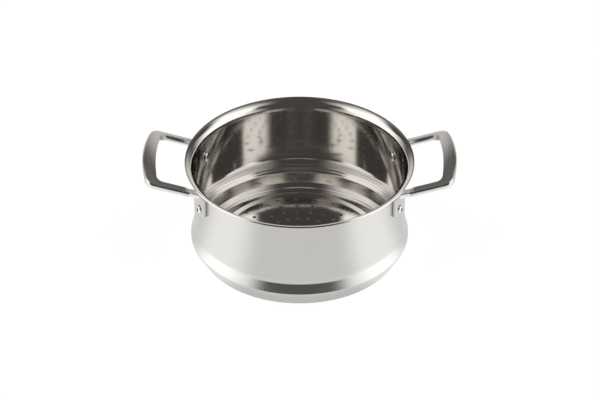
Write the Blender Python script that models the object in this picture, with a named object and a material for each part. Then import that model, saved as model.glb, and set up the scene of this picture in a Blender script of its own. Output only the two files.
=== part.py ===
# Steamer insert: a perforated steel vessel whose stepped base seats in 20, 18 and 16 cm pans,
# with two fixed loop handles, each held to the wall by two riveted feet.
# Metres, +Z up. The origin is the centre of the underside, and the handles lie along X.
import math

import bmesh
import bpy
from mathutils import Matrix, Vector

# Clearances
GAP = 0.0003
OVERRUN = 0.003

# Vessel wall and rim
SHEET = 0.0010
WALL_RADIUS = 0.0987
VESSEL_HEIGHT = 0.0980
RIM_FLARE = 0.0088
FLARE_ANGLE = math.radians(80)

# Bulge at the foot of the wall: a cone widens the wall, blended into it above and below,
# and a rounded corner turns in under it
BULGE_REACH = 0.0039
CONE_TOP = 0.0315
CONE_BOTTOM = 0.0191
UPPER_BLEND_RADIUS = 0.0200
LOWER_BLEND_RADIUS = 0.0060
CORNER_RADIUS = 0.0018

# Stepped base: each pan has a seat at its own height, and the riser inside that seat leans in
PAN_RADIUS = 0.1000
PAN_STEP = 0.0100
SEAT_HEIGHTS = (0.0138, 0.0024, 0.0012)
RISER_LEANS = (0.0028, 0.0006, 0.0040)
PAN_CLEARANCE = 0.0007

# Steam holes: rings of them, each at a share of the floor's radius
HOLE_DIAMETER = 0.0033
HOLE_RING_SHARES = (0.186, 0.345, 0.502, 0.649, 0.797, 0.944)
HOLE_RING_COUNTS = (6, 12, 24, 24, 24, 24)
FIRST_HOLE_ANGLE = math.radians(2.4)

# Handles: a loop that rises outward and is arched, highest in the middle of the grip. The standoff
# is from the wall to the grip's outer edge, and the arch is the middle's height over the arms
HANDLE_SLOPE = math.radians(16.3)
GRIP_STANDOFF = 0.0457
GRIP_WIDTH = 0.0129
OUTER_BOW = 0.0071
INNER_BOW = 0.0053
GRIP_ARCH = 0.0034
HANDLE_HALF_LENGTH = 0.0451
ARM_WIDTH = 0.0072
HANDLE_THICKNESS = 0.0052
OUTER_CORNER_RADIUS = 0.0096
INNER_CORNER_RADIUS = 0.0068
HANDLE_BEVEL = 0.0010

# Feet: a tab on the wall with a neck out to the arm. The tab hangs a little under the flare,
# the arm's end is a little above the tab's top, and their joint runs round the wall at the reach
NECK_REACH = 0.0111
NECK_LIFT = 0.0041
NECK_INSET = 0.0005
TAB_SHIFT = 0.0010
TAB_DROP = 0.0006
TAB_WIDTH = 0.0200
TAB_HEIGHT = 0.0200
TAB_THICKNESS = 0.0024
TAB_CORNER_RADIUS = 0.0025

# Rivets: the rise is from the tab's bottom to the rivet's axis
RIVET_RISE = 0.0048
SHANK_DIAMETER = 0.0050
OUTER_HEAD_DIAMETER = 0.0080
OUTER_HEAD_RISE = 0.0018
INNER_HEAD_DIAMETER = 0.0096
INNER_HEAD_RISE = 0.0022
DIMPLE_DIAMETER = 0.0030
DIMPLE_DEPTH = 0.0007

# Facets
VESSEL_SEGMENTS = 80
HOLE_SEGMENTS = 8
RIVET_SEGMENTS = 20
CLEARANCE_SEGMENTS = 144
ARC_STEPS = 5
FLARE_STEPS = 4
CORNER_STEPS = 3
BLEND_STEPS = 3
BOW_STEPS = 10

# Worked out from the sizes above
WALL_OUTER = WALL_RADIUS + SHEET
BULGE_OUTER = WALL_OUTER + BULGE_REACH
CONE_ANGLE = math.atan(BULGE_REACH / (CONE_TOP - CONE_BOTTOM))
UPPER_BLEND_RISE = UPPER_BLEND_RADIUS * math.tan(CONE_ANGLE / 2)
LOWER_BLEND_DROP = LOWER_BLEND_RADIUS * math.tan(CONE_ANGLE / 2)
PAN_RADII = [PAN_RADIUS - PAN_STEP * i for i in range(len(SEAT_HEIGHTS))]
FLOOR_RADIUS = PAN_RADII[-1] - PAN_CLEARANCE - RISER_LEANS[-1]
FLARE_RADIUS = RIM_FLARE / (1 - math.cos(FLARE_ANGLE))
FLARE_BOTTOM = VESSEL_HEIGHT - FLARE_RADIUS * math.sin(FLARE_ANGLE)
ARM_CENTRE = HANDLE_HALF_LENGTH - ARM_WIDTH / 2
TAB_TOP = FLARE_BOTTOM - TAB_DROP
TAB_BOTTOM = TAB_TOP - TAB_HEIGHT
TAB_FACE = WALL_OUTER + GAP + TAB_THICKNESS
RIVET_HEIGHT = TAB_BOTTOM + RIVET_RISE
RIVET_AZIMUTH = math.asin((ARM_CENTRE + TAB_SHIFT) / WALL_OUTER)
GRIP_REACH = WALL_OUTER + GRIP_STANDOFF
JOINT_RADIUS = WALL_OUTER + NECK_REACH
JOINT_AT_ARM = math.sqrt(JOINT_RADIUS ** 2 - ARM_CENTRE ** 2)
ARM_RISE = (GRIP_REACH - JOINT_AT_ARM + GRIP_ARCH * math.sin(HANDLE_SLOPE)) * math.tan(HANDLE_SLOPE)
GRIP_HEIGHT = TAB_TOP + NECK_LIFT + ARM_RISE + GRIP_ARCH * math.cos(HANDLE_SLOPE)
NECK_LENGTH = 2 * NECK_REACH
SIDES = {"right": 0.0, "left": math.pi}
ENDS = {"back": 1, "front": -1}


def clear_scene():
    for obj in list(bpy.data.objects):
        bpy.data.objects.remove(obj, do_unlink=True)


def steel(name, colour, roughness):
    material = bpy.data.materials.new(name)
    material.use_nodes = True
    shader = material.node_tree.nodes["Principled BSDF"]
    shader.inputs["Base Color"].default_value = (*colour, 1.0)
    shader.inputs["Metallic"].default_value = 1.0
    shader.inputs["Roughness"].default_value = roughness
    return material


def object_from(mesh, name, material=None):
    """Turns a bmesh into a named object with smooth shading and outward faces."""
    bmesh.ops.recalc_face_normals(mesh, faces=mesh.faces)
    data = bpy.data.meshes.new(name)
    mesh.to_mesh(data)
    mesh.free()
    data.shade_smooth()
    data.set_sharp_from_angle(angle=math.radians(35))
    obj = bpy.data.objects.new(name, data)
    bpy.context.scene.collection.objects.link(obj)
    if material:
        data.materials.append(material)
    else:
        obj.hide_render = True
        obj.display_type = "WIRE"
    return obj


def combine(obj, other, operation):
    modifier = obj.modifiers.new(operation.title(), "BOOLEAN")
    modifier.operation = operation
    modifier.solver = "EXACT"
    modifier.object = other


def soften(obj, width):
    modifier = obj.modifiers.new("Bevel", "BEVEL")
    modifier.width = width
    modifier.segments = 2
    modifier.limit_method = "ANGLE"
    modifier.angle_limit = math.radians(50)


def arc(centre, radius, start, end, steps):
    """Points of a circular arc from one angle to another, both ends included."""
    angles = [start + (end - start) * i / steps for i in range(steps + 1)]
    return [Vector((centre[0] + radius * math.cos(a), centre[1] + radius * math.sin(a))) for a in angles]


def circle(centre, radius, segments):
    return arc(centre, radius, 0.0, 2 * math.pi * (1 - 1 / segments), segments - 1)


def offset(line, distance):
    """The open line moved to its left by a distance, with mitred corners."""
    moved = []
    for i, point in enumerate(line):
        before = (point - line[i - 1]).normalized() if i else None
        after = (line[i + 1] - point).normalized() if i + 1 < len(line) else None
        before, after = before or after, after or before
        normals = [Vector((-d.y, d.x)) for d in (before, after)]
        bisector = (normals[0] + normals[1]).normalized()
        moved.append(point + bisector * distance / bisector.dot(normals[0]))
    return moved


def ring(mesh, radius, height, segments):
    return [mesh.verts.new((point.x, point.y, height)) for point in circle((0, 0), radius, segments)]


def bridge(mesh, lower, upper):
    for i in range(len(lower)):
        mesh.faces.new((lower[i - 1], lower[i], upper[i], upper[i - 1]))


def add_prism(mesh, outline, low, high):
    """Adds a closed solid: the outline in the XY plane, extruded from one height to another."""
    bottom = [mesh.verts.new((p[0], p[1], low)) for p in outline]
    top = [mesh.verts.new((p[0], p[1], high)) for p in outline]
    mesh.faces.new(bottom[::-1])
    mesh.faces.new(top)
    bridge(mesh, bottom, top)


def prism(outline, low, high):
    mesh = bmesh.new()
    add_prism(mesh, outline, low, high)
    return mesh


def turned(profile, segments):
    """A closed solid turned about Z, from a profile that starts and ends on the axis."""
    mesh = bmesh.new()
    first = mesh.verts.new((0, 0, profile[0][1]))
    last = mesh.verts.new((0, 0, profile[-1][1]))
    rings = [ring(mesh, radius, height, segments) for radius, height in profile[1:-1]]
    for lower, upper in zip(rings, rings[1:]):
        bridge(mesh, lower, upper)
    for i in range(segments):
        mesh.faces.new((first, rings[0][i - 1], rings[0][i]))
        mesh.faces.new((last, rings[-1][i], rings[-1][i - 1]))
    return mesh


def outer_profile():
    """The sheet's outer face as (radius, height) points, from the rim down to the floor's edge."""
    flare_centre = (WALL_RADIUS + FLARE_RADIUS, FLARE_BOTTOM)
    line = arc(flare_centre, FLARE_RADIUS - SHEET, math.pi - FLARE_ANGLE, math.pi, FLARE_STEPS)
    upper = (WALL_OUTER + UPPER_BLEND_RADIUS, CONE_TOP + UPPER_BLEND_RISE)
    line += arc(upper, UPPER_BLEND_RADIUS, math.pi, math.pi + CONE_ANGLE, BLEND_STEPS)
    lower = (BULGE_OUTER - LOWER_BLEND_RADIUS, CONE_BOTTOM - LOWER_BLEND_DROP)
    line += arc(lower, LOWER_BLEND_RADIUS, CONE_ANGLE, 0.0, BLEND_STEPS)
    corner = (BULGE_OUTER - CORNER_RADIUS, SEAT_HEIGHTS[0] + CORNER_RADIUS)
    line += arc(corner, CORNER_RADIUS, 0.0, -math.pi / 2, CORNER_STEPS)
    lower_levels = SEAT_HEIGHTS[1:] + (0.0,)
    for pan_radius, seat, lean, below in zip(PAN_RADII, SEAT_HEIGHTS, RISER_LEANS, lower_levels):
        riser = pan_radius - PAN_CLEARANCE
        line += [Vector((riser, seat)), Vector((riser - lean, below))]
    return line


def steam_hole_places():
    places = []
    for share, count in zip(HOLE_RING_SHARES, HOLE_RING_COUNTS):
        last_angle = FIRST_HOLE_ANGLE + 2 * math.pi * (1 - 1 / count)
        places += arc((0, 0), FLOOR_RADIUS * share, FIRST_HOLE_ANGLE, last_angle, count - 1)
    return places


def hole_cutter():
    """One guide mesh holding a prism for each steam hole."""
    holes = bmesh.new()
    for place in steam_hole_places():
        add_prism(holes, circle(place, HOLE_DIAMETER / 2, HOLE_SEGMENTS), -OVERRUN, SHEET + OVERRUN)
    return object_from(holes, "steam_hole_cutter")


def rivet_frame(side, end):
    """The frame of one rivet: its Z axis points out along the rivet, and its X axis points down."""
    turn = SIDES[side] + ENDS[end] * math.cos(SIDES[side]) * RIVET_AZIMUTH
    lift = Matrix.Translation((0, 0, RIVET_HEIGHT))
    return Matrix.Rotation(turn, 4, "Z") @ lift @ Matrix.Rotation(math.pi / 2, 4, "Y")


def rivet_hole_cutter(side, end):
    radius = SHANK_DIAMETER / 2 + GAP
    outline = circle((0, 0), radius, RIVET_SEGMENTS)
    mesh = prism(outline, WALL_RADIUS - OVERRUN, TAB_FACE + OVERRUN)
    cutter = object_from(mesh, f"rivet_hole_cutter_{side}_{end}")
    cutter.matrix_world = rivet_frame(side, end)
    return cutter


def make_vessel(material):
    outer = outer_profile()
    inner = offset(outer, -SHEET)
    mesh = bmesh.new()
    outer_rings = [ring(mesh, p.x, p.y, VESSEL_SEGMENTS) for p in outer]
    inner_rings = [ring(mesh, p.x, p.y, VESSEL_SEGMENTS) for p in inner]
    around = inner_rings[::-1] + outer_rings
    for upper, lower in zip(around, around[1:]):
        bridge(mesh, lower, upper)
    mesh.faces.new(inner_rings[-1])
    mesh.faces.new(outer_rings[-1][::-1])
    vessel = object_from(mesh, "vessel", material)
    combine(vessel, hole_cutter(), "DIFFERENCE")
    return vessel


def handle_frame(side):
    """The frame of one handle: origin on the middle of the grip's outer top edge, +X outward and up."""
    place = Matrix.Translation((GRIP_REACH, 0, GRIP_HEIGHT))
    return Matrix.Rotation(SIDES[side], 4, "Z") @ place @ Matrix.Rotation(-HANDLE_SLOPE, 4, "Y")


def arch_drop(across):
    """How far the loop's top lies under the middle of the grip, at a distance across from that middle."""
    return GRIP_ARCH * (across / ARM_CENTRE) ** 2


def arched(point, depth):
    """A point of the loop's outline at a depth under its arched top, square to that top."""
    lean = 2 * GRIP_ARCH * point[1] / ARM_CENTRE ** 2
    down = Vector((0, -lean, -1)).normalized()
    return Vector((point[0], point[1], -arch_drop(point[1]))) + down * depth


def joint_point(across, inset):
    """The point of the loop's top whose distance from the vessel's axis is the joint's less an inset."""
    reach = math.sqrt((JOINT_RADIUS - inset) ** 2 - across ** 2)
    shift = arch_drop(across) * math.sin(HANDLE_SLOPE)
    return Vector(((reach - GRIP_REACH - shift) / math.cos(HANDLE_SLOPE), across))


def half_edge(edge, half_length, radius, full_bow):
    """Half of a loop's edge: from the middle of the grip, bowed, round the corner, to the arm's end."""
    straight = half_length - radius
    bow = full_bow * (straight / HANDLE_HALF_LENGTH) ** 2
    shares = [i / BOW_STEPS for i in range(BOW_STEPS)]
    line = [Vector((edge - bow * share ** 2, straight * share)) for share in shares]
    line += arc((edge - bow - radius, straight), radius, 0.0, math.pi / 2, ARC_STEPS)
    return line + [joint_point(half_length, 0)]


def whole_edge(edge, half_length, radius, full_bow):
    half = half_edge(edge, half_length, radius, full_bow)
    return [Vector((p.x, -p.y)) for p in half[:0:-1]] + half


def make_handle(side, material):
    outer = whole_edge(0.0, HANDLE_HALF_LENGTH, OUTER_CORNER_RADIUS, OUTER_BOW)
    inner = whole_edge(-GRIP_WIDTH, HANDLE_HALF_LENGTH - ARM_WIDTH, INNER_CORNER_RADIUS, INNER_BOW)
    mesh = bmesh.new()
    sections = []
    for out, back in zip(outer, inner):
        corners = ((out, 0), (back, 0), (back, HANDLE_THICKNESS), (out, HANDLE_THICKNESS))
        sections.append([mesh.verts.new(arched(point, depth)) for point, depth in corners])
    for before, after in zip(sections, sections[1:]):
        bridge(mesh, before, after)
    mesh.faces.new(sections[0])
    mesh.faces.new(sections[-1][::-1])
    handle = object_from(mesh, f"handle_{side}", material)
    handle.matrix_world = handle_frame(side)
    soften(handle, HANDLE_BEVEL)
    return handle


def tab_outline():
    """The tab seen from outside, in the rivet's frame, with its two lower corners rounded."""
    top = RIVET_HEIGHT - TAB_TOP
    bottom = RIVET_HEIGHT - TAB_BOTTOM
    across = TAB_WIDTH / 2 - TAB_CORNER_RADIUS
    corner_line = bottom - TAB_CORNER_RADIUS
    outline = [Vector((top, -TAB_WIDTH / 2))]
    outline += arc((corner_line, -across), TAB_CORNER_RADIUS, -math.pi / 2, 0.0, ARC_STEPS)
    outline += arc((corner_line, across), TAB_CORNER_RADIUS, 0.0, math.pi / 2, ARC_STEPS)
    return outline + [Vector((top, TAB_WIDTH / 2))]


def make_neck(side, end):
    """The neck, as a guide in the handle's frame: it carries on inward from the arm, slightly smaller."""
    way = ENDS[end] * math.cos(SIDES[side])
    half_width = ARM_WIDTH / 2 - NECK_INSET
    edges = [way * (ARM_CENTRE - half_width), way * (ARM_CENTRE + half_width)]
    outline = [joint_point(across, GAP) for across in edges]
    outline += [joint_point(across, NECK_LENGTH) for across in edges[::-1]]
    mesh = bmesh.new()
    depths = (NECK_INSET, HANDLE_THICKNESS - NECK_INSET)
    top, bottom = [[mesh.verts.new(arched(point, depth)) for point in outline] for depth in depths]
    mesh.faces.new(top)
    mesh.faces.new(bottom[::-1])
    bridge(mesh, top, bottom)
    neck = object_from(mesh, f"neck_guide_{side}_{end}")
    neck.matrix_world = handle_frame(side)
    return neck


def make_wall_clearance():
    """A guide: the wall's outside with the gap that the feet keep to it."""
    radius = (WALL_OUTER + GAP) / math.cos(math.pi / CLEARANCE_SEGMENTS)
    outline = circle((0, 0), radius, CLEARANCE_SEGMENTS)
    return object_from(prism(outline, -OVERRUN, VESSEL_HEIGHT + OVERRUN), "wall_clearance")


def make_foot(side, end, wall_clearance, rivet_hole, material):
    foot = object_from(prism(tab_outline(), WALL_RADIUS, TAB_FACE), f"foot_{side}_{end}", material)
    foot.matrix_world = rivet_frame(side, end)
    combine(foot, make_neck(side, end), "UNION")
    combine(foot, wall_clearance, "DIFFERENCE")
    combine(foot, rivet_hole, "DIFFERENCE")
    return foot


def dome(seat, radius, rise, sense):
    """A rivet head's profile from its edge to near its crown: a quarter ellipse."""
    turns = [math.pi / 2 * i / ARC_STEPS for i in range(ARC_STEPS)]
    return [(radius * math.cos(t), seat + sense * rise * math.sin(t)) for t in turns]


def rivet_profile():
    """From the crown of the head inside the vessel to the dimple of the head outside it."""
    flat_wall = WALL_RADIUS * math.cos(math.pi / VESSEL_SEGMENTS)
    inner_radius = INNER_HEAD_DIAMETER / 2
    inner_seat = math.sqrt(flat_wall ** 2 - inner_radius ** 2) - GAP
    outer_seat = TAB_FACE + GAP
    profile = [(0.0, inner_seat - INNER_HEAD_RISE)]
    profile += dome(inner_seat, inner_radius, INNER_HEAD_RISE, -1)[::-1]
    profile += [(SHANK_DIAMETER / 2, inner_seat), (SHANK_DIAMETER / 2, outer_seat)]
    outer_dome = dome(outer_seat, OUTER_HEAD_DIAMETER / 2, OUTER_HEAD_RISE, 1)
    profile += [point for point in outer_dome if point[0] > DIMPLE_DIAMETER / 2]
    profile.append((DIMPLE_DIAMETER / 2, outer_seat + OUTER_HEAD_RISE))
    profile.append((0.0, outer_seat + OUTER_HEAD_RISE - DIMPLE_DEPTH))
    return profile


def make_rivet(side, end, material):
    rivet = object_from(turned(rivet_profile(), RIVET_SEGMENTS), f"rivet_{side}_{end}", material)
    rivet.matrix_world = rivet_frame(side, end)
    return rivet


def main():
    clear_scene()
    brushed = steel("brushed_steel", (0.70, 0.69, 0.67), 0.28)
    satin = steel("satin_steel", (0.52, 0.51, 0.50), 0.38)
    polished = steel("polished_steel", (0.78, 0.77, 0.75), 0.14)
    vessel = make_vessel(brushed)
    wall_clearance = make_wall_clearance()
    for side in SIDES:
        make_handle(side, satin)
        for end in ENDS:
            rivet_hole = rivet_hole_cutter(side, end)
            combine(vessel, rivet_hole, "DIFFERENCE")
            make_foot(side, end, wall_clearance, rivet_hole, polished)
            make_rivet(side, end, polished)


main()
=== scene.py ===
import math

import bmesh
import bpy
from mathutils import Matrix, Vector


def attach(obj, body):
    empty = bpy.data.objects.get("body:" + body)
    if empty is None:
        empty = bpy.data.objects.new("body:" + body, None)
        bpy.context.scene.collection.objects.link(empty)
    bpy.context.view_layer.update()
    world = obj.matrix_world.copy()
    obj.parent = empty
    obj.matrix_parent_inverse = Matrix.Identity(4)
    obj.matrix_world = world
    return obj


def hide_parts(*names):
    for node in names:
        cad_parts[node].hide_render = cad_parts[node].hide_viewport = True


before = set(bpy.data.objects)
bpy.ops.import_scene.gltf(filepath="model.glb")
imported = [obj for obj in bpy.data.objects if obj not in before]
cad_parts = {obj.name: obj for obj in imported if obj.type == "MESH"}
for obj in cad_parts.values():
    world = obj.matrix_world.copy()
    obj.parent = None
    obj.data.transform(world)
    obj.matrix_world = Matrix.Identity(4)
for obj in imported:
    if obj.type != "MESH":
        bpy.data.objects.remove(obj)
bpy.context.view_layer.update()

# Clearances
GAP = 0.0003
OVERRUN = 0.003

# Vessel sheet
SHEET = 0.0010
WALL_RADIUS = 0.0987
VESSEL_HEIGHT = 0.0980
RIM_FLARE = 0.0088
FLARE_ANGLE = math.radians(80)
LIP_ANGLE = math.radians(77)
LAND_STEPS = 3
LAND_SLOPE = math.radians(9)
CUT_SLOPE = math.radians(26)
CUT_HEIGHT = 0.0014
CUT_ROUND = 0.0001
RIM_LIFT = 0.0005
RIM_LIFT_POWER = 3
BULGE_REACH = 0.0039
CONE_TOP = 0.0304
CONE_BOTTOM = 0.0180
UPPER_BLEND_RADIUS = 0.0200
LOWER_BLEND_RADIUS = 0.0025
POLISHED_BAND = ((0.0166, 0.0178), (0.0295, 0.0325))
CORNER_RADIUS = 0.0018
PAN_RADIUS = 0.1000
PAN_STEP = 0.0100
SEAT_HEIGHTS = (0.0138, 0.0024, 0.0012)
RISER_LEANS = (0.0024, 0.0006, 0.0040)
PAN_CLEARANCE = 0.0007
CREASE_RADIUS = 0.0007
SUPPORT = 0.00008

# Steam holes
HOLE_DIAMETER = 0.0033
HOLE_CHAMFER = 0.0002
HOLE_RING_SHARES = (0.186, 0.345, 0.502, 0.649, 0.797, 0.944)
HOLE_RING_COUNTS = (6, 12, 24, 24, 24, 24)
FIRST_HOLE_ANGLE = math.radians(2.4)

# Handles. The bar's section is given as places: how far in from its edge, and how deep under its top.
# The satin covers the top and the first faces beside it.
HANDLE_SLOPE = math.radians(16.3)
GRIP_STANDOFF = 0.0457
GRIP_WIDTH = 0.0129
OUTER_BOW = 0.0071
INNER_BOW = 0.0053
GRIP_ARCH = 0.0034
LOOP_ARCH = 0.0030
HANDLE_HALF_LENGTH = 0.0451
ARM_WIDTH = 0.0072
INNER_SPREAD = 0.0008
HANDLE_THICKNESS = 0.0052
OUTER_CORNER_RADIUS = 0.0096
INNER_CORNER_RADIUS = 0.0068
OUTER_SHOULDER = [(0.00140, 0.0), (0.00132, 0.00002), (0.00120, 0.00012), (0.00102, 0.00035),
                  (0.00068, 0.00085), (0.00030, 0.00140), (0.00014, 0.00175)]
INNER_SHOULDER = [(0.00095, 0.0), (0.00087, 0.00002), (0.00075, 0.00013), (0.00066, 0.00035),
                  (0.00050, 0.00100), (0.00034, 0.00170), (0.00019, 0.00240)]
BAR_SIDE = [(0.00006, 0.00305), (0.00001, 0.00350), (0.00003, 0.00420), (0.00014, 0.00460),
            (0.00026, 0.00495), (0.00045, 0.00525), (0.00085, 0.00545), (0.00150, 0.00555)]
SATIN_FACES = 2
BAR_END_EDGE = 0.0004
BAR_END_ANGLE = math.radians(60)

# Feet
NECK_REACH = 0.0111
NECK_LIFT = 0.0041
NECK_INSET = 0.0005
TAB_SHIFT = 0.0010
TAB_DROP = 0.0006
TAB_WIDTH = 0.0200
TAB_HEIGHT = 0.0200
TAB_THICKNESS = 0.0024
TAB_CORNER_RADIUS = 0.0025
FOOT_EDGE = 0.0004
FOOT_EDGE_ANGLE = math.radians(50)

# Rivets
RIVET_RISE = 0.0048
SHANK_DIAMETER = 0.0050
OUTER_HEAD_DIAMETER = 0.0080
OUTER_HEAD_RISE = 0.0018
INNER_HEAD_DIAMETER = 0.0096
INNER_HEAD_RISE = 0.0022
DIMPLE_DIAMETER = 0.0030
DIMPLE_DEPTH = 0.0007
DIMPLE_BOWL_DEPTH = 0.0006
DIMPLE_MARGIN = 0.0002
DIMPLE_WALL = [(0.0001, 0.0), (-0.0001, -0.00008), (-0.0003, -0.0004)]

# How finely round shapes are divided
TURN_STEPS = 224
HOLE_STEPS = 24
RIVET_STEPS = 48
HEAD_STEPS = 12
FLARE_STEPS = 28
CREASE_STEPS = 5
CORNER_STEPS = 10
BOW_STEPS = 16
ARM_STEPS = 4
EDGE_STEPS = 3
SHARP_ANGLE = math.radians(35)

# Worked out from the sizes above
WALL_OUTER = WALL_RADIUS + SHEET
BULGE_OUTER = WALL_OUTER + BULGE_REACH
PAN_RADII = [PAN_RADIUS - PAN_STEP * i for i in range(len(SEAT_HEIGHTS))]
FLOOR_RADIUS = PAN_RADII[-1] - PAN_CLEARANCE - RISER_LEANS[-1]
FLARE_RADIUS = RIM_FLARE / (1 - math.cos(FLARE_ANGLE))
FLARE_BOTTOM = VESSEL_HEIGHT - FLARE_RADIUS * math.sin(FLARE_ANGLE)
ARM_CENTRE = HANDLE_HALF_LENGTH - ARM_WIDTH / 2
TAB_TOP = FLARE_BOTTOM - TAB_DROP
TAB_BOTTOM = TAB_TOP - TAB_HEIGHT
TAB_FACE = WALL_OUTER + GAP + TAB_THICKNESS
RIVET_HEIGHT = TAB_BOTTOM + RIVET_RISE
RIVET_AZIMUTH = math.asin((ARM_CENTRE + TAB_SHIFT) / WALL_OUTER)
GRIP_REACH = WALL_OUTER + GRIP_STANDOFF
JOINT_RADIUS = WALL_OUTER + NECK_REACH
JOINT_AT_ARM = math.sqrt(JOINT_RADIUS ** 2 - ARM_CENTRE ** 2)
ARM_RISE = (GRIP_REACH - JOINT_AT_ARM + GRIP_ARCH * math.sin(HANDLE_SLOPE)) * math.tan(HANDLE_SLOPE)
GRIP_HEIGHT = TAB_TOP + NECK_LIFT + ARM_RISE + GRIP_ARCH * math.cos(HANDLE_SLOPE)
SIDES = {"right": 0.0, "left": math.pi}
ENDS = {"back": 1, "front": -1}

# The studio: the camera stands in front and above, and the light stands at both sides
CAMERA_PLACE = Vector((0.0, -1.6466, 1.2331))
CAMERA_AIM = Vector((0.0004, -0.0218, 0.0664))
CAMERA_LENS = 128.5
SENSOR_WIDTH = 36.0

# The light of the studio by direction. A turn is seen from above, 0 at the camera's side and 180 behind,
# and a lift is above the horizon, both in degrees. A pair says where a fade begins and where it ends.
SIDE_LIGHT = 1.25
SIDE_FADE = (42.0, 78.0)
SOFT_TURNS = ((28.0, 70.0), (100.0, 140.0))
CRISP_TURNS = ((45.0, 56.0), (96.0, 120.0))
CRISP_LIFTS = ((22.0, 29.0), (41.0, 50.0))
BACK_LIGHT = 0.70
BACK_TURNS = (132.0, 166.0)
BACK_FADE = (9.0, 34.0)
LOW_CORNER_LIGHT = 0.32
LOW_CORNER_LIFTS = ((10.0, 20.0), (26.0, 34.0))
LOW_CORNER_TURNS = ((145.0, 160.0), (166.0, 178.0))
HIGH_CORNER_LIGHT = 0.10
HIGH_CORNER_LIFTS = ((36.0, 43.0), (66.0, 84.0))
HIGH_CORNER_TURNS = ((125.0, 145.0), (166.0, 178.0))
ROOM_LIGHT = 0.068
DIM_TINT = (1.0, 0.94, 0.89, 1.0)
BRIGHT_TINT = (1.0, 0.985, 0.965, 1.0)
TINT_LEVELS = (0.08, 0.70)

# The white floor as steel sees it, a glow of painted light, brighter at the sides than in front and behind.
# Each ramp over the turn gives where it begins and ends, and its level at both.
FLOOR_SIZE = 6.0
WHITE = (1.0, 1.0, 1.0, 1.0)
FLOOR_WHITE = 0.90
FLOOR_PAINT = 0.30
FROM_ABOVE_TURNS = ((30.0, 54.0, 0.86, 1.24), (70.0, 100.0, 0.0, -0.42))
# Edge-on the glow is dim in front and behind: a painted reflection of the dim room
EDGE_ON_TURNS = ((26.0, 60.0, 0.10, 1.68), (100.0, 138.0, 0.0, -0.95))
EDGE_ON_FACING = (0.85, 0.93)
FLANK_TURNS = ((46.0, 64.0), (80.0, 98.0))
FLANK_FACING = (0.58, 0.76, 0.0, 0.36)
# Painted shadow: the glow fades near the vessel, and under its base it is nearly gone
CONTACT_SHADE = (0.085, 0.140, 0.85, 1.0)
UNDER_BASE_SHADOW = (FLOOR_RADIUS - 0.002, FLOOR_RADIUS + 0.006)
UNDER_BASE_LIGHT = 0.06

# Finishes
ROUGHNESS_GRAIN = (0.3, 0.7)
ROUGHNESS_SPREAD = 0.1
TINT_GRAIN = (0.25, 0.75)
TINT_SPREAD = 0.04
BAND_POLISH = 0.7
# Painted shade in the hollow of a rivet's outer head: its radius, its fade and how much it darkens the colour
HOLLOW_SHADE_RADIUS = 0.0021
HOLLOW_SHADE_FADE = (0.85, 1.0)
HOLLOW_SHADE = 0.90
SMEAR_PATCHES = (0.45, 0.75)
SMEAR_STREAKS = (0.35, 0.70)
STREAK_SCALE = 900.0
LINE_DRIFT = 0.002


# Node building

def add(tree, kind, **inputs):
    """Adds a node. A keyword sets the input of that name, or after an underscore the attribute."""
    node = tree.nodes.new(kind)
    for name, value in inputs.items():
        if name.startswith("_"):
            setattr(node, name[1:], value)
    for name, value in inputs.items():
        if not name.startswith("_"):
            put(tree, node.inputs[name.replace("_", " ")], value)
    return node


def put(tree, socket, value):
    if isinstance(value, bpy.types.NodeSocket):
        tree.links.new(value, socket)
    else:
        socket.default_value = value


def calc(tree, operation, first, second=None):
    node = tree.nodes.new("ShaderNodeMath")
    node.operation = operation
    put(tree, node.inputs[0], first)
    if second is not None:
        put(tree, node.inputs[1], second)
    return node.outputs[0]


def total(tree, first, *others):
    """The sum of the values."""
    for other in others:
        first = calc(tree, "ADD", first, other)
    return first


def product(tree, first, *others):
    """The values multiplied together."""
    for other in others:
        first = calc(tree, "MULTIPLY", first, other)
    return first


def rest_of(tree, share):
    """What a share leaves of 1."""
    return calc(tree, "SUBTRACT", 1.0, share)


def ramp(tree, value, low, high, to_low=0.0, to_high=1.0, smooth=True):
    node = tree.nodes.new("ShaderNodeMapRange")
    node.interpolation_type = "SMOOTHSTEP" if smooth else "LINEAR"
    for name, number in (("From Min", low), ("From Max", high), ("To Min", to_low), ("To Max", to_high)):
        node.inputs[name].default_value = number
    put(tree, node.inputs["Value"], value)
    return node.outputs["Result"]


def group_of(name, inputs, outputs):
    """A shader node group with float or vector sockets, given as (name, kind, default) and (name, kind)."""
    tree = bpy.data.node_groups.new(name, "ShaderNodeTree")
    for label, kind, default in inputs:
        socket = tree.interface.new_socket(label, in_out="INPUT", socket_type=kind)
        if default is not None:
            socket.default_value = default
    for label, kind in outputs:
        tree.interface.new_socket(label, in_out="OUTPUT", socket_type=kind)
    return tree, tree.nodes.new("NodeGroupInput").outputs, tree.nodes.new("NodeGroupOutput").inputs


def place_group(tree, group, **inputs):
    node = tree.nodes.new("ShaderNodeGroup")
    node.node_tree = group
    for name, value in inputs.items():
        put(tree, node.inputs[name.replace("_", " ")], value)
    return node.outputs


FLOAT = "NodeSocketFloat"
VECTOR = "NodeSocketVector"


def length_of(tree, first, second):
    """The length of a line whose two square parts are given."""
    squares = total(tree, product(tree, first, first), product(tree, second, second))
    return calc(tree, "SQRT", squares)


def azimuth_of(tree, parts):
    """The angle in degrees between a direction or place, seen from above, and the camera's side."""
    toward = product(tree, parts["Y"], -1.0)
    return calc(tree, "DEGREES", calc(tree, "ABSOLUTE", calc(tree, "ARCTAN2", parts["X"], toward)))


def band(tree, value, rise, fall):
    """1 between the two ramps and 0 outside them."""
    return product(tree, ramp(tree, value, *rise), ramp(tree, value, *fall, 1.0, 0.0))


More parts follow.
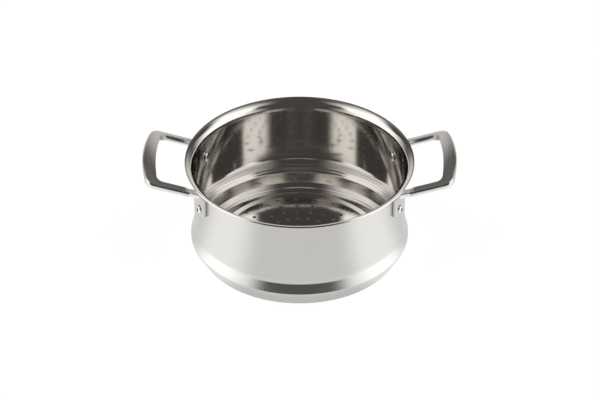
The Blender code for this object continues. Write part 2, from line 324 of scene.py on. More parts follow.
def make_surround():
    """How bright the studio is in a direction: lit at the sides and behind, dim in front and overhead."""
    tree, given, out = group_of("studio_surround", [("Direction", VECTOR, None)], [("Brightness", FLOAT)])
    unit = add(tree, "ShaderNodeVectorMath", _operation="NORMALIZE")
    put(tree, unit.inputs[0], given["Direction"])
    parts = add(tree, "ShaderNodeSeparateXYZ", Vector=unit.outputs[0]).outputs
    turn = azimuth_of(tree, parts)
    lift = calc(tree, "DEGREES", calc(tree, "ARCSINE", parts["Z"]))
    middle = band(tree, lift, *CRISP_LIFTS)
    soft = product(tree, band(tree, turn, *SOFT_TURNS), rest_of(tree, middle))
    crisp = product(tree, band(tree, turn, *CRISP_TURNS), middle)
    sides = product(tree, total(tree, soft, crisp), ramp(tree, lift, *SIDE_FADE, SIDE_LIGHT, 0.0))
    behind = product(tree, ramp(tree, turn, *BACK_TURNS), ramp(tree, lift, *BACK_FADE, BACK_LIGHT, 0.0))
    low = product(tree, band(tree, lift, *LOW_CORNER_LIFTS), band(tree, turn, *LOW_CORNER_TURNS))
    high = product(tree, band(tree, lift, *HIGH_CORNER_LIFTS), band(tree, turn, *HIGH_CORNER_TURNS))
    corners = total(tree, product(tree, low, LOW_CORNER_LIGHT), product(tree, high, HIGH_CORNER_LIGHT))
    put(tree, out["Brightness"], total(tree, sides, behind, corners, ROOM_LIGHT))
    return tree


def make_handling_marks():
    """Faint smears left by hands and washing: a mask from 0 to 1."""
    inputs = [("Size", FLOAT, 0.02), ("Amount", FLOAT, 1.0)]
    tree, given, out = group_of("handling_marks", inputs, [("Mask", FLOAT)])
    place = add(tree, "ShaderNodeTexCoord").outputs["Object"]
    scale = calc(tree, "DIVIDE", 1.0, given["Size"])
    cloud = add(tree, "ShaderNodeTexNoise", Vector=place, Scale=scale, Detail=5.0, Roughness=0.6)
    patch = ramp(tree, cloud.outputs["Fac"], *SMEAR_PATCHES)
    fine = add(tree, "ShaderNodeTexNoise", Vector=place, Scale=STREAK_SCALE, Detail=2.0)
    streak = ramp(tree, fine.outputs["Fac"], *SMEAR_STREAKS)
    put(tree, out["Mask"], product(tree, patch, streak, given["Amount"]))
    return tree


def make_turning_lines():
    """Fine lines that run round the vessel's axis, left by spinning and polishing: a height from 0 to 1."""
    tree, given, out = group_of("turning_lines", [("Spacing", FLOAT, 0.0006)], [("Height", FLOAT)])
    place = add(tree, "ShaderNodeTexCoord").outputs["Object"]
    parts = add(tree, "ShaderNodeSeparateXYZ", Vector=place).outputs
    radius = length_of(tree, parts["X"], parts["Y"])
    turn = product(tree, calc(tree, "ARCTAN2", parts["Y"], parts["X"]), LINE_DRIFT)
    lines = add(tree, "ShaderNodeCombineXYZ", X=radius, Y=parts["Z"], Z=turn)
    scale = calc(tree, "DIVIDE", 1.0, given["Spacing"])
    noise = add(tree, "ShaderNodeTexNoise", Vector=lines.outputs[0], Scale=scale, Detail=3.0, Roughness=0.55)
    put(tree, out["Height"], noise.outputs["Fac"])
    return tree


def make_painted_hollow_shade():
    """Painted shade for the hollow in a rivet's outer head: 1 near the rivet's axis and outside the foot's
    tab, 0 elsewhere.
    """
    tree, given, out = group_of("painted_rivet_shade", [("Radius", FLOAT, HOLLOW_SHADE_RADIUS)], [("Mask", FLOAT)])
    place = add(tree, "ShaderNodeTexCoord").outputs["Object"]
    parts = add(tree, "ShaderNodeSeparateXYZ", Vector=place).outputs
    along, sideways = calc(tree, "ABSOLUTE", parts["X"]), calc(tree, "ABSOLUTE", parts["Y"])
    cosine, sine = math.cos(RIVET_AZIMUTH), math.sin(RIVET_AZIMUTH)
    outward = total(tree, product(tree, along, cosine), product(tree, sideways, sine))
    across = calc(tree, "SUBTRACT", product(tree, along, sine), product(tree, sideways, cosine))
    up = calc(tree, "SUBTRACT", parts["Z"], RIVET_HEIGHT)
    away = calc(tree, "DIVIDE", length_of(tree, across, up), given["Radius"])
    near = ramp(tree, away, *HOLLOW_SHADE_FADE, 1.0, 0.0)
    put(tree, out["Mask"], product(tree, near, ramp(tree, outward, TAB_FACE, TAB_FACE + GAP)))
    return tree


def make_cast_grain():
    """Fine satin grain of a blasted casting: a height from 0 to 1."""
    tree, given, out = group_of("cast_grain", [("Size", FLOAT, 0.0005)], [("Height", FLOAT)])
    place = add(tree, "ShaderNodeTexCoord").outputs["Object"]
    scale = calc(tree, "DIVIDE", 1.0, given["Size"])
    noise = add(tree, "ShaderNodeTexNoise", Vector=place, Scale=scale, Detail=4.0, Roughness=0.65)
    put(tree, out["Height"], noise.outputs["Fac"])
    return tree


def steel(name, colour, roughness, marks, texture, strength, distance,
          anisotropy=0.0, turn=0.0, polished=None, painted_shade=None):
    """A steel with its own grain. A polished band is smoother, and painted shade darkens a hollow."""
    material = bpy.data.materials.new(name)
    material.use_nodes = True
    tree = material.node_tree
    shader = tree.nodes["Principled BSDF"]
    shader.inputs["Metallic"].default_value = 1.0
    shader.inputs["Anisotropic"].default_value = anisotropy
    shader.inputs["Anisotropic Rotation"].default_value = turn
    height = place_group(tree, texture[0], **texture[1])["Height"]
    mask = place_group(tree, marks[0], **marks[1])["Mask"]
    smoothest, roughest = (1 - ROUGHNESS_SPREAD) * roughness, (1 + ROUGHNESS_SPREAD) * roughness
    rough = total(tree, ramp(tree, height, *ROUGHNESS_GRAIN, smoothest, roughest, False), mask)
    if polished:
        place = add(tree, "ShaderNodeTexCoord").outputs["Object"]
        level = add(tree, "ShaderNodeSeparateXYZ", Vector=place).outputs["Z"]
        share = product(tree, band(tree, level, *polished), BAND_POLISH)
        rough = product(tree, rough, rest_of(tree, share))
    put(tree, shader.inputs["Roughness"], rough)
    tint = tree.nodes.new("ShaderNodeMix")
    tint.data_type = "RGBA"
    put(tree, tint.inputs["Factor"], ramp(tree, height, *TINT_GRAIN, smooth=False))
    tint.inputs["A"].default_value = (*[(1 - TINT_SPREAD) * part for part in colour], 1.0)
    tint.inputs["B"].default_value = (*colour, 1.0)
    base = tint.outputs["Result"]
    # Painted shade: the colour is darkened in the hollow
    if painted_shade:
        shade = product(tree, place_group(tree, painted_shade)["Mask"], HOLLOW_SHADE)
        scaled = add(tree, "ShaderNodeVectorMath", _operation="SCALE", Scale=rest_of(tree, shade))
        put(tree, scaled.inputs[0], base)
        base = scaled.outputs[0]
    put(tree, shader.inputs["Base Color"], base)
    bump = add(tree, "ShaderNodeBump", Strength=strength, Distance=distance, Height=height)
    put(tree, shader.inputs["Normal"], bump.outputs["Normal"])
    if anisotropy:
        tangent = add(tree, "ShaderNodeTangent", _direction_type="RADIAL", _axis="Z")
        put(tree, shader.inputs["Tangent"], tangent.outputs["Tangent"])
    return material


# Shapes

def arc(centre, radius, start, end, steps):
    """Points of a circular arc from one angle to another, both ends included."""
    angles = [start + (end - start) * i / steps for i in range(steps + 1)]
    return [Vector((centre[0] + radius * math.cos(a), centre[1] + radius * math.sin(a))) for a in angles]


def circle(radius, steps):
    return arc((0, 0), radius, 0.0, 2 * math.pi * (1 - 1 / steps), steps - 1)


def offset(line, distance):
    """The open line moved to its left by a distance, with mitred corners."""
    moved = []
    for i, point in enumerate(line):
        before = (point - line[i - 1]).normalized() if i else None
        after = (line[i + 1] - point).normalized() if i + 1 < len(line) else None
        before, after = before or after, after or before
        normals = [Vector((-d.y, d.x)) for d in (before, after)]
        bisector = (normals[0] + normals[1]).normalized()
        moved.append(point + bisector * distance / bisector.dot(normals[0]))
    return moved


def creased(line, radii):
    """The open line with each inner corner rounded, and a support point beside each end of the rounding."""
    result = [line[0]]
    for before, corner, after, radius in zip(line, line[1:], line[2:], radii):
        back = (before - corner).normalized()
        ahead = (after - corner).normalized()
        half = math.acos(max(-1.0, min(1.0, back.dot(ahead)))) / 2
        reach = radius / math.tan(half)
        centre = corner + (back + ahead).normalized() * radius / math.sin(half)
        start = corner + back * reach
        finish = corner + ahead * reach
        result.append(start + back * SUPPORT)
        for i in range(CREASE_STEPS + 1):
            spoke = (start - centre).lerp(finish - centre, i / CREASE_STEPS).normalized()
            result.append(centre + spoke * radius)
        result.append(finish + ahead * SUPPORT)
    return result + [line[-1]]


def ring(mesh, radius, height, steps):
    return [mesh.verts.new((point.x, point.y, height)) for point in circle(radius, steps)]


def bridge(mesh, lower, upper, material=0):
    for i in range(len(lower)):
        mesh.faces.new((lower[i - 1], lower[i], upper[i], upper[i - 1])).material_index = material


def object_from(mesh, name, materials=()):
    """Turns a bmesh into a named object with smooth shading and outward faces."""
    bmesh.ops.recalc_face_normals(mesh, faces=mesh.faces)
    data = bpy.data.meshes.new(name)
    mesh.to_mesh(data)
    mesh.free()
    data.shade_smooth()
    data.set_sharp_from_angle(angle=SHARP_ANGLE)
    obj = bpy.data.objects.new(name, data)
    bpy.context.scene.collection.objects.link(obj)
    for material in materials:
        data.materials.append(material)
    return obj


def settle(obj, name):
    """Applies the modifiers and the place of an object, and gives the result as a new plain object."""
    bpy.context.view_layer.update()
    graph = bpy.context.evaluated_depsgraph_get()
    data = bpy.data.meshes.new_from_object(obj.evaluated_get(graph))
    data.transform(obj.matrix_world)
    if obj.matrix_world.determinant() < 0:
        data.flip_normals()
    bpy.data.objects.remove(obj)
    data.name = name
    data.shade_smooth()
    data.set_sharp_from_angle(angle=SHARP_ANGLE)
    plain = bpy.data.objects.new(name, data)
    bpy.context.scene.collection.objects.link(plain)
    return plain


def combine(obj, other, operation):
    modifier = obj.modifiers.new(operation.title(), "BOOLEAN")
    modifier.operation = operation
    modifier.solver = "EXACT"
    modifier.object = other


def round_edges(obj, name, width, angle):
    """Rounds the edges of an object that are sharper than an angle."""
    modifier = obj.modifiers.new(name, "BEVEL")
    modifier.width = width
    modifier.segments = EDGE_STEPS
    modifier.limit_method = "ANGLE"
    modifier.angle_limit = angle
    return modifier


def prism(outline, low, high):
    """A closed solid: the outline in the XY plane, extruded from one height to another."""
    mesh = bmesh.new()
    bottom = [mesh.verts.new((p[0], p[1], low)) for p in outline]
    top = [mesh.verts.new((p[0], p[1], high)) for p in outline]
    mesh.faces.new(bottom[::-1])
    mesh.faces.new(top)
    bridge(mesh, bottom, top)
    return mesh


def turned(profile, steps):
    """A closed solid turned about Z, from a profile that starts and ends on the axis."""
    mesh = bmesh.new()
    first = mesh.verts.new((0, 0, profile[0][1]))
    last = mesh.verts.new((0, 0, profile[-1][1]))
    rings = [ring(mesh, radius, height, steps) for radius, height in profile[1:-1]]
    for lower, upper in zip(rings, rings[1:]):
        bridge(mesh, lower, upper)
    for i in range(steps):
        mesh.faces.new((first, rings[0][i - 1], rings[0][i]))
        mesh.faces.new((last, rings[-1][i], rings[-1][i - 1]))
    return mesh


# Vessel

def sheet_line():
    """The middle of the sheet as (radius, height) points, from the lip down to the floor's edge."""
    wall = [(WALL_OUTER, FLARE_BOTTOM), (WALL_OUTER, CONE_TOP), (BULGE_OUTER, CONE_BOTTOM)]
    outer = [Vector(place) for place in wall]
    corner = (BULGE_OUTER - CORNER_RADIUS, SEAT_HEIGHTS[0] + CORNER_RADIUS)
    outer += arc(corner, CORNER_RADIUS, 0.0, -math.pi / 2, CORNER_STEPS)
    for pan_radius, seat, lean, below in zip(PAN_RADII, SEAT_HEIGHTS, RISER_LEANS, SEAT_HEIGHTS[1:] + (0.0,)):
        riser = pan_radius - PAN_CLEARANCE
        outer += [Vector((riser, seat)), Vector((riser - lean, below))]
    outer.append(Vector((FLOOR_RADIUS - CREASE_RADIUS * 2, 0.0)))
    middle = offset(outer, -SHEET / 2)
    below_cone = len(wall)
    cone = creased(middle[:below_cone + 1], [UPPER_BLEND_RADIUS + SHEET / 2, LOWER_BLEND_RADIUS - SHEET / 2])
    creases = 2 * len(SEAT_HEIGHTS)
    base = creased(middle[-creases - 2:], [CREASE_RADIUS] * creases)
    line = cone[:-1] + middle[below_cone:-creases - 2] + base
    flare_centre = (WALL_RADIUS + FLARE_RADIUS, FLARE_BOTTOM)
    flare = arc(flare_centre, FLARE_RADIUS - SHEET / 2, math.pi - LIP_ANGLE, math.pi, FLARE_STEPS)
    lifts = [RIM_LIFT * (1 - i / FLARE_STEPS) ** RIM_LIFT_POWER for i in range(len(flare))]
    flare = [point + Vector((0, lift)) for point, lift in zip(flare, lifts)]
    return flare + [Vector((line[0].x, FLARE_BOTTOM - SUPPORT))] + line[1:]


def hole_punch(edge):
    """One punch for a steam hole: a cylinder that widens a little at both faces of the floor."""
    radius = HOLE_DIAMETER / 2
    wide = radius + HOLE_CHAMFER
    profile = [(0, -OVERRUN), (wide, -OVERRUN), (wide, 0.0), (radius, HOLE_CHAMFER)]
    profile += [(radius, SHEET - HOLE_CHAMFER), (wide, SHEET), (wide, SHEET + OVERRUN), (0, SHEET + OVERRUN)]
    return object_from(turned(profile, HOLE_STEPS), "steam_hole_punch", [edge])


def geometry_tree(name, inputs):
    tree = bpy.data.node_groups.new(name, "GeometryNodeTree")
    tree.interface.new_socket("Geometry", in_out="INPUT", socket_type="NodeSocketGeometry")
    for label, kind in inputs:
        tree.interface.new_socket(label, in_out="INPUT", socket_type=kind)
    tree.interface.new_socket("Geometry", in_out="OUTPUT", socket_type="NodeSocketGeometry")
    return tree, tree.nodes.new("NodeGroupInput").outputs, tree.nodes.new("NodeGroupOutput").inputs


def run_tree(obj, tree, values, name):
    """Runs a geometry tree on an object, its inputs set by name, and gives the result as a plain object."""
    modifier = obj.modifiers.new(name, "NODES")
    modifier.node_group = tree
    sockets = {item.name: item.identifier for item in tree.interface.items_tree if item.in_out == "INPUT"}
    for label, value in values.items():
        modifier[sockets[label]] = value
    return settle(obj, name)


def finish_tree(tree, points, shape, rotation, material, out):
    """Puts the shape on the points, makes it real and gives it its material."""
    placed = add(tree, "GeometryNodeInstanceOnPoints", Points=points, Instance=shape)
    if rotation:
        put(tree, placed.inputs["Rotation"], rotation)
    real = add(tree, "GeometryNodeRealizeInstances", Geometry=placed.outputs["Instances"])
    dressed = add(tree, "GeometryNodeSetMaterial", Geometry=real.outputs["Geometry"], Material=material)
    put(tree, out["Geometry"], dressed.outputs["Geometry"])


def make_steam_holes(edge):
    """All the punches of the floor: rings of points, with a punch on each point."""
    tree, given, out = geometry_tree("steam_hole_rings", [
        ("Floor Radius", FLOAT), ("First Angle", FLOAT), ("Edge", "NodeSocketMaterial")])
    rings = tree.nodes.new("GeometryNodeJoinGeometry")
    for share, count in zip(HOLE_RING_SHARES, HOLE_RING_COUNTS):
        radius = product(tree, given["Floor Radius"], share)
        points = add(tree, "GeometryNodeMeshCircle", Vertices=count, Radius=radius)
        tree.links.new(points.outputs["Mesh"], rings.inputs["Geometry"])
    turn = add(tree, "ShaderNodeCombineXYZ", Z=given["First Angle"])
    places = add(tree, "GeometryNodeTransform", Geometry=rings.outputs["Geometry"], Rotation=turn.outputs[0])
    finish_tree(tree, places.outputs["Geometry"], given["Geometry"], None, given["Edge"], out)
    values = {"Floor Radius": FLOOR_RADIUS, "First Angle": FIRST_HOLE_ANGLE, "Edge": edge}
    return run_tree(hole_punch(edge), tree, values, "steam_holes")


def make_vessel(inside, outside, edge, bores):
    """The whole pressed sheet: inner face, lip and outer face, with the steam holes and rivet holes cut."""
    line = sheet_line()
    outer = offset(line, SHEET / 2)
    inner = offset(line, -SHEET / 2)
    inner, outer = inner[LAND_STEPS:], outer[LAND_STEPS + 1:]
    land = line[0].x - CUT_ROUND - inner[0].x
    top = inner[0] + Vector((land, land * math.tan(LAND_SLOPE)))
    down = Vector((math.sin(CUT_SLOPE), -math.cos(CUT_SLOPE)))
    low = top + down * CUT_HEIGHT
    lip = [top - Vector((CUT_ROUND, 0)), top + down * CUT_ROUND,
           low - down * CUT_ROUND, low - Vector((CUT_ROUND, CUT_ROUND / 4))]
    profile = inner[::-1] + lip + outer
    mesh = bmesh.new()
    rings = [ring(mesh, p.x, p.y, TURN_STEPS) for p in profile]
    for i in range(len(rings) - 1):
        is_outside = i >= len(inner) + len(lip)
        bridge(mesh, rings[i], rings[i + 1], 1 if is_outside else 0)
    mesh.faces.new(rings[0]).material_index = 0
    mesh.faces.new(rings[-1][::-1]).material_index = 1
    vessel = object_from(mesh, "vessel_blank", [inside, outside, edge])
    holes = make_steam_holes(edge)
    combine(vessel, holes, "DIFFERENCE")
    for bore in bores:
        combine(vessel, bore, "DIFFERENCE")
    vessel = settle(vessel, "steamer_vessel")
    bpy.data.objects.remove(holes)
    return vessel


# Handles

def handle_frame(side):
    """The frame of one handle: origin on the middle of the grip's outer top edge, +X outward and up."""
    place = Matrix.Translation((GRIP_REACH, 0, GRIP_HEIGHT))
    return Matrix.Rotation(SIDES[side], 4, "Z") @ place @ Matrix.Rotation(-HANDLE_SLOPE, 4, "Y")


def arch_drop(across):
    """How far the loop's top lies under the middle of the grip, at a distance across from that middle."""
    return LOOP_ARCH * (across / ARM_CENTRE) ** 2


def arched(point, depth):
    """A point of the loop's outline at a depth under its arched top, square to that top."""
    lean = 2 * LOOP_ARCH * point[1] / ARM_CENTRE ** 2
    down = Vector((0, -lean, -1)).normalized()
    return Vector((point[0], point[1], -arch_drop(point[1]))) + down * depth


def joint_point(across, inset):
    """The point of the loop's top whose distance from the vessel's axis is the joint's less an inset."""
    reach = math.sqrt((JOINT_RADIUS - inset) ** 2 - across ** 2)
    shift = arch_drop(across) * math.sin(HANDLE_SLOPE)
    return Vector(((reach - GRIP_REACH - shift) / math.cos(HANDLE_SLOPE), across))


def half_edge(edge, half_length, radius, full_bow):
    """Half of a loop's edge: bowed from the middle of the grip, round the corner, to the arm's end."""
    straight = half_length - radius
    turn = math.atan(2 * full_bow * straight / HANDLE_HALF_LENGTH ** 2)
    across = straight + radius * math.sin(turn)
    bow = full_bow * (across / HANDLE_HALF_LENGTH) ** 2
    shares = [i / BOW_STEPS for i in range(BOW_STEPS)]
    line = [Vector((edge - bow * share ** 2, across * share)) for share in shares]
    line += arc((edge - bow - radius * math.cos(turn), straight), radius, turn, math.pi / 2, CORNER_STEPS)
    corner, joint = line[-1], joint_point(half_length, 0)
    return line + [corner.lerp(joint, (i + 1) / ARM_STEPS) for i in range(ARM_STEPS)]


def whole_edge(edge, half_length, radius, full_bow):
    half = half_edge(edge, half_length, radius, full_bow)
    return [Vector((p.x, -p.y)) for p in half[:0:-1]] + half


def make_handle(side, satin, polish):
    """The cast loop: a section carried along the loop, satin on top, drafted and polished at the sides."""
    outer = whole_edge(0.0, HANDLE_HALF_LENGTH, OUTER_CORNER_RADIUS, OUTER_BOW)
    inner_half_length = HANDLE_HALF_LENGTH - ARM_WIDTH - INNER_SPREAD
    inner = whole_edge(-GRIP_WIDTH, inner_half_length, INNER_CORNER_RADIUS, INNER_BOW)
    outer_section = OUTER_SHOULDER + BAR_SIDE
    inner_section = INNER_SHOULDER + BAR_SIDE
    mesh = bmesh.new()
    loops = []
    for out_point, in_point in zip(outer, inner):
        inward = (in_point - out_point).normalized()
        around = [arched(out_point + inward * inset, depth) for inset, depth in outer_section]
        around += [arched(in_point - inward * inset, depth) for inset, depth in inner_section[::-1]]
        loops.append([mesh.verts.new(place) for place in around])
    size = len(loops[0])
    for low, high in zip(loops, loops[1:]):
        for i in range(size):
            is_satin = min(i, size - i) <= SATIN_FACES
            face = mesh.faces.new((low[i - 1], low[i], high[i], high[i - 1]))
            face.material_index = 0 if is_satin else 1
    for end in (loops[0], loops[-1][::-1]):
        mesh.faces.new(end).material_index = 1
    blank = object_from(mesh, f"handle_blank_{side}", [satin, polish])
    blank.matrix_world = handle_frame(side)
    round_edges(blank, "End edges", BAR_END_EDGE, BAR_END_ANGLE).material = 1
    return settle(blank, f"loop_handle_{side}")


# Feet

def rivet_frame(side, end):
    """The frame of one rivet: its Z axis points out along the rivet, and its X axis points down."""
    turn = SIDES[side] + ENDS[end] * math.cos(SIDES[side]) * RIVET_AZIMUTH
    lift = Matrix.Translation((0, 0, RIVET_HEIGHT))
    return Matrix.Rotation(turn, 4, "Z") @ lift @ Matrix.Rotation(math.pi / 2, 4, "Y")


def make_bore(side, end):
    outline = circle(SHANK_DIAMETER / 2 + GAP, RIVET_STEPS)
    bore = object_from(prism(outline, WALL_RADIUS - OVERRUN, TAB_FACE + OVERRUN), f"bore_{side}_{end}")
    bore.matrix_world = rivet_frame(side, end)
    return bore


def tab_outline():
    """The tab seen from outside, in the rivet's frame, with its two lower corners rounded."""
    top = RIVET_HEIGHT - TAB_TOP
    across = TAB_WIDTH / 2 - TAB_CORNER_RADIUS
    corner_line = RIVET_HEIGHT - TAB_BOTTOM - TAB_CORNER_RADIUS
    outline = [Vector((top, -TAB_WIDTH / 2))]
    outline += arc((corner_line, -across), TAB_CORNER_RADIUS, -math.pi / 2, 0.0, CORNER_STEPS)
    outline += arc((corner_line, across), TAB_CORNER_RADIUS, 0.0, math.pi / 2, CORNER_STEPS)
    return outline + [Vector((top, TAB_WIDTH / 2))]


def make_neck(side, end):
    """The neck, as a guide in the handle's frame: it carries on inward from the arm, slightly smaller."""
    way = ENDS[end] * math.cos(SIDES[side])
    half_width = ARM_WIDTH / 2 - NECK_INSET
    edges = [way * (ARM_CENTRE - half_width), way * (ARM_CENTRE + half_width)]
    outline = [joint_point(across, GAP) for across in edges]
    outline += [joint_point(across, 2 * NECK_REACH) for across in edges[::-1]]
    mesh = bmesh.new()
    depths = (NECK_INSET, HANDLE_THICKNESS - NECK_INSET)
    top, bottom = [[mesh.verts.new(arched(point, depth)) for point in outline] for depth in depths]
    mesh.faces.new(top)
    mesh.faces.new(bottom[::-1])
    bridge(mesh, top, bottom)
    neck = object_from(mesh, f"neck_guide_{side}_{end}")
    neck.matrix_world = handle_frame(side)
    return neck


def make_wall_clearance():
    """A guide: the wall's outside with the gap that the feet keep to it."""
    outline = circle((WALL_OUTER + GAP) / math.cos(math.pi / TURN_STEPS), TURN_STEPS)
    return object_from(prism(outline, -OVERRUN, VESSEL_HEIGHT + OVERRUN), "wall_clearance")


def make_foot(side, end, wall_clearance, bore, polish):
    tab = prism(tab_outline(), WALL_RADIUS, TAB_FACE)
    blank = object_from(tab, f"foot_blank_{side}_{end}", [polish])
    blank.matrix_world = rivet_frame(side, end)
    neck = make_neck(side, end)
    combine(blank, neck, "UNION")
    combine(blank, wall_clearance, "DIFFERENCE")
    combine(blank, bore, "DIFFERENCE")
    round_edges(blank, "Edges", FOOT_EDGE, FOOT_EDGE_ANGLE)
    foot = settle(blank, f"handle_foot_{side}_{end}")
    bpy.data.objects.remove(neck)
    return foot


# Rivets

def quarter(seat, radius, rise, steps):
    """A head's profile from its edge to near its crown: a quarter ellipse."""
    turns = [math.pi / 2 * i / steps for i in range(steps)]
    return [(radius * math.cos(t), seat + rise * math.sin(t)) for t in turns]


def rivet_profile():
    """From the crown of the head inside the vessel to the dimple of the head outside it."""
    inner_radius = INNER_HEAD_DIAMETER / 2
    inner_seat = math.sqrt(WALL_RADIUS ** 2 - inner_radius ** 2) - GAP
    outer_seat = TAB_FACE + GAP
    crown = outer_seat + OUTER_HEAD_RISE
    dimple = DIMPLE_DIAMETER / 2
    profile = [(0.0, inner_seat - INNER_HEAD_RISE)]
    profile += quarter(inner_seat, inner_radius, -INNER_HEAD_RISE, HEAD_STEPS)[::-1]
    profile += [(SHANK_DIAMETER / 2, inner_seat), (SHANK_DIAMETER / 2, outer_seat)]
    head = quarter(outer_seat, OUTER_HEAD_DIAMETER / 2, OUTER_HEAD_RISE, HEAD_STEPS)
    profile += [place for place in head if place[0] > dimple + DIMPLE_MARGIN]
    profile += [(dimple + wider, crown + higher) for wider, higher in DIMPLE_WALL]
    return profile + [(dimple / 2, crown - DIMPLE_BOWL_DEPTH), (0.0, crown - DIMPLE_DEPTH)]


def make_rivets(polish):
    """The four rivets: one turned rivet, put at each of its four places round the wall."""
    tree, given, out = geometry_tree("rivet_places", [
        ("Height", FLOAT), ("Azimuth", FLOAT), ("Finish", "NodeSocketMaterial")])
    index = tree.nodes.new("GeometryNodeInputIndex").outputs[0]
    side = product(tree, calc(tree, "FLOOR", calc(tree, "DIVIDE", index, len(ENDS))), math.pi)
    way = rest_of(tree, product(tree, calc(tree, "MODULO", index, len(ENDS)), 2.0))
    turn = total(tree, side, product(tree, way, given["Azimuth"]))
    place = add(tree, "ShaderNodeCombineXYZ", Z=given["Height"])
    angles = add(tree, "ShaderNodeCombineXYZ", Y=math.pi / 2, Z=turn)
    spin = add(tree, "FunctionNodeEulerToRotation", Euler=angles.outputs[0])
    points = add(tree, "GeometryNodePoints", Count=len(SIDES) * len(ENDS), Position=place.outputs[0])
    finish_tree(tree, points.outputs[0], given["Geometry"], spin.outputs[0], given["Finish"], out)
    rivet = object_from(turned(rivet_profile(), RIVET_STEPS), "rivet_blank", [polish])
    values = {"Height": RIVET_HEIGHT, "Azimuth": RIVET_AZIMUTH, "Finish": polish}
    return run_tree(rivet, tree, values, "rivets")


# Studio

def make_floor():
    """A plain white floor to the camera that keeps the soft shadow, with a painted shadow under the vessel's
    base. Steel sees it glow with painted light, dim edge-on in front as a painted reflection of the dim room,
    and darker near the vessel as a painted shadow.
    """
    material = bpy.data.materials.new("studio_floor")
    material.use_nodes = True
    tree = material.node_tree
    tree.nodes.clear()
    path = add(tree, "ShaderNodeLightPath").outputs
    place = add(tree, "ShaderNodeTexCoord").outputs["Object"]
    length = add(tree, "ShaderNodeVectorMath", _operation="LENGTH")
    put(tree, length.inputs[0], place)
    reach = length.outputs["Value"]
    turn = azimuth_of(tree, add(tree, "ShaderNodeSeparateXYZ", Vector=place).outputs)
    facing = add(tree, "ShaderNodeLayerWeight", Blend=0.5).outputs["Facing"]
    # Painted light: the glow is brighter toward the sides
    flank = product(tree, band(tree, turn, *FLANK_TURNS), ramp(tree, facing, *FLANK_FACING))
    above = total(tree, *[ramp(tree, turn, *numbers) for numbers in FROM_ABOVE_TURNS], flank)
    # Painted reflection: edge-on, the glow takes dim levels, darkest in front
    edge_on = total(tree, *[ramp(tree, turn, *numbers) for numbers in EDGE_ON_TURNS])
    share = ramp(tree, facing, *EDGE_ON_FACING)
    level = total(tree, product(tree, above, rest_of(tree, share)), product(tree, edge_on, share))
    # Painted shadow: the glow is dimmer near the vessel
    level = product(tree, level, ramp(tree, reach, *CONTACT_SHADE))
    is_camera, is_glossy = path["Is Camera Ray"], path["Is Glossy Ray"]
    # Painted shadow under the base: the glow fades there, for steel and for the camera
    seen = product(tree, is_glossy, level, ramp(tree, reach, *UNDER_BASE_SHADOW, UNDER_BASE_LIGHT, 1.0))
    shown = product(tree, is_camera, ramp(tree, reach, *UNDER_BASE_SHADOW, 0.0, FLOOR_WHITE))
    light = add(tree, "ShaderNodeEmission", Color=WHITE, Strength=total(tree, shown, seen))
    paint = add(tree, "ShaderNodeBsdfDiffuse", Color=product(tree, is_camera, FLOOR_PAINT))
    both = tree.nodes.new("ShaderNodeAddShader")
    put(tree, both.inputs[0], light.outputs[0])
    put(tree, both.inputs[1], paint.outputs[0])
    add(tree, "ShaderNodeOutputMaterial", Surface=both.outputs[0])
    mesh = bmesh.new()
    bmesh.ops.create_grid(mesh, x_segments=1, y_segments=1, size=FLOOR_SIZE)
    floor = object_from(mesh, "studio_floor", [material])
    if floor.data.polygons[0].normal.z < 0:
        floor.data.flip_normals()


def make_world(surround):
    world = bpy.data.worlds.new("studio")
    bpy.context.scene.world = world
    world.use_nodes = True
    tree = world.node_tree
    tree.nodes.clear()
    direction = add(tree, "ShaderNodeTexCoord").outputs["Generated"]
    level = place_group(tree, surround, Direction=direction)["Brightness"]
    camera = add(tree, "ShaderNodeLightPath").outputs["Is Camera Ray"]
    strength = add(tree, "ShaderNodeMix")
    put(tree, strength.inputs["Factor"], camera)
    put(tree, strength.inputs["A"], level)
    put(tree, strength.inputs["B"], 1.0)
    tint = tree.nodes.new("ShaderNodeMix")
    tint.data_type = "RGBA"
    put(tree, tint.inputs["Factor"], ramp(tree, level, *TINT_LEVELS))
    tint.inputs["A"].default_value = DIM_TINT
    tint.inputs["B"].default_value = BRIGHT_TINT
    light = add(tree, "ShaderNodeBackground", Color=tint.outputs["Result"])
    put(tree, light.inputs["Strength"], strength.outputs["Result"])
    add(tree, "ShaderNodeOutputWorld", Surface=light.outputs[0])


def make_camera():
    data = bpy.data.cameras.new("studio_camera")
    data.lens = CAMERA_LENS
    data.sensor_width = SENSOR_WIDTH
    camera = bpy.data.objects.new("studio_camera", data)
    bpy.context.scene.collection.objects.link(camera)
    camera.location = CAMERA_PLACE
    camera.rotation_euler = (CAMERA_AIM - CAMERA_PLACE).to_track_quat("-Z", "Y").to_euler()
    bpy.context.scene.camera = camera


def finish_piece(piece, slot, *nodes):
    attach(piece, "root")
    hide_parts(*nodes)


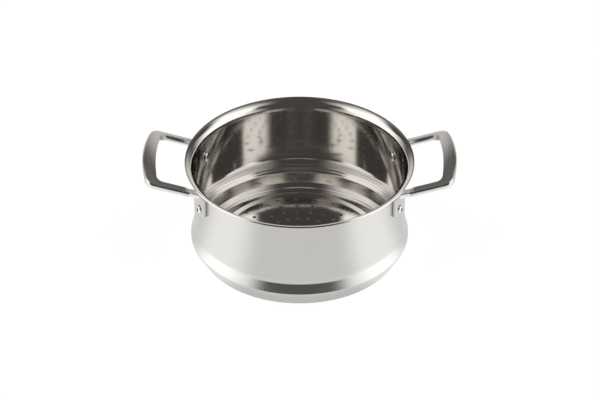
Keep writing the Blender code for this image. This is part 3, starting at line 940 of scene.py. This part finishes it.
def main():
    bpy.context.scene.view_settings.view_transform = "Standard"
    make_camera()
    surround = make_surround()
    make_world(surround)
    make_floor()
    marks = make_handling_marks()
    lines = make_turning_lines()
    grain = make_cast_grain()
    inside = steel("inside_polish", colour=(0.81, 0.79, 0.767), roughness=0.09,
                   marks=(marks, {"Size": 0.03, "Amount": 0.03}),
                   texture=(lines, {"Spacing": 0.0007}), strength=0.04, distance=0.00005)
    outside = steel("outside_satin", colour=(0.67, 0.655, 0.635), roughness=0.24,
                    marks=(marks, {"Size": 0.04, "Amount": 0.04}),
                    texture=(lines, {"Spacing": 0.0005}), strength=0.10, distance=0.00005,
                    anisotropy=0.5, turn=0.25, polished=POLISHED_BAND)
    edge = steel("punched_edge", colour=(0.60, 0.59, 0.575), roughness=0.35,
                 marks=(marks, {"Size": 0.004, "Amount": 0.05}),
                 texture=(grain, {"Size": 0.0004}), strength=0.2, distance=0.00005)
    satin = steel("handle_satin", colour=(0.68, 0.66, 0.64), roughness=0.24,
                  marks=(marks, {"Size": 0.015, "Amount": 0.06}),
                  texture=(grain, {"Size": 0.0007}), strength=0.35, distance=0.00008)
    polish = steel("cast_polish", colour=(0.69, 0.685, 0.675), roughness=0.12,
                   marks=(marks, {"Size": 0.01, "Amount": 0.05}),
                   texture=(grain, {"Size": 0.0009}), strength=0.05, distance=0.00004)
    # The rivets' steel carries painted shade in the hollow of each outer head
    rivet_steel = steel("rivet_polish", colour=(0.76, 0.75, 0.735), roughness=0.14,
                        marks=(marks, {"Size": 0.01, "Amount": 0.05}),
                        texture=(grain, {"Size": 0.0009}), strength=0.05, distance=0.00004,
                        painted_shade=make_painted_hollow_shade())
    bores = {(side, end): make_bore(side, end) for side in SIDES for end in ENDS}
    vessel = make_vessel(inside, outside, edge, bores.values())
    finish_piece(vessel, "vessel_steel", "vessel")
    wall_clearance = make_wall_clearance()
    for side in SIDES:
        finish_piece(make_handle(side, satin, polish), "handle_steel", f"handle_{side}")
        for end in ENDS:
            foot = make_foot(side, end, wall_clearance, bores[side, end], polish)
            finish_piece(foot, "foot_steel", f"foot_{side}_{end}")
    for guide in (wall_clearance, *bores.values()):
        bpy.data.objects.remove(guide)
    rivet_nodes = [f"rivet_{side}_{end}" for side in SIDES for end in ENDS]
    finish_piece(make_rivets(rivet_steel), "rivet_steel", *rivet_nodes)


main()
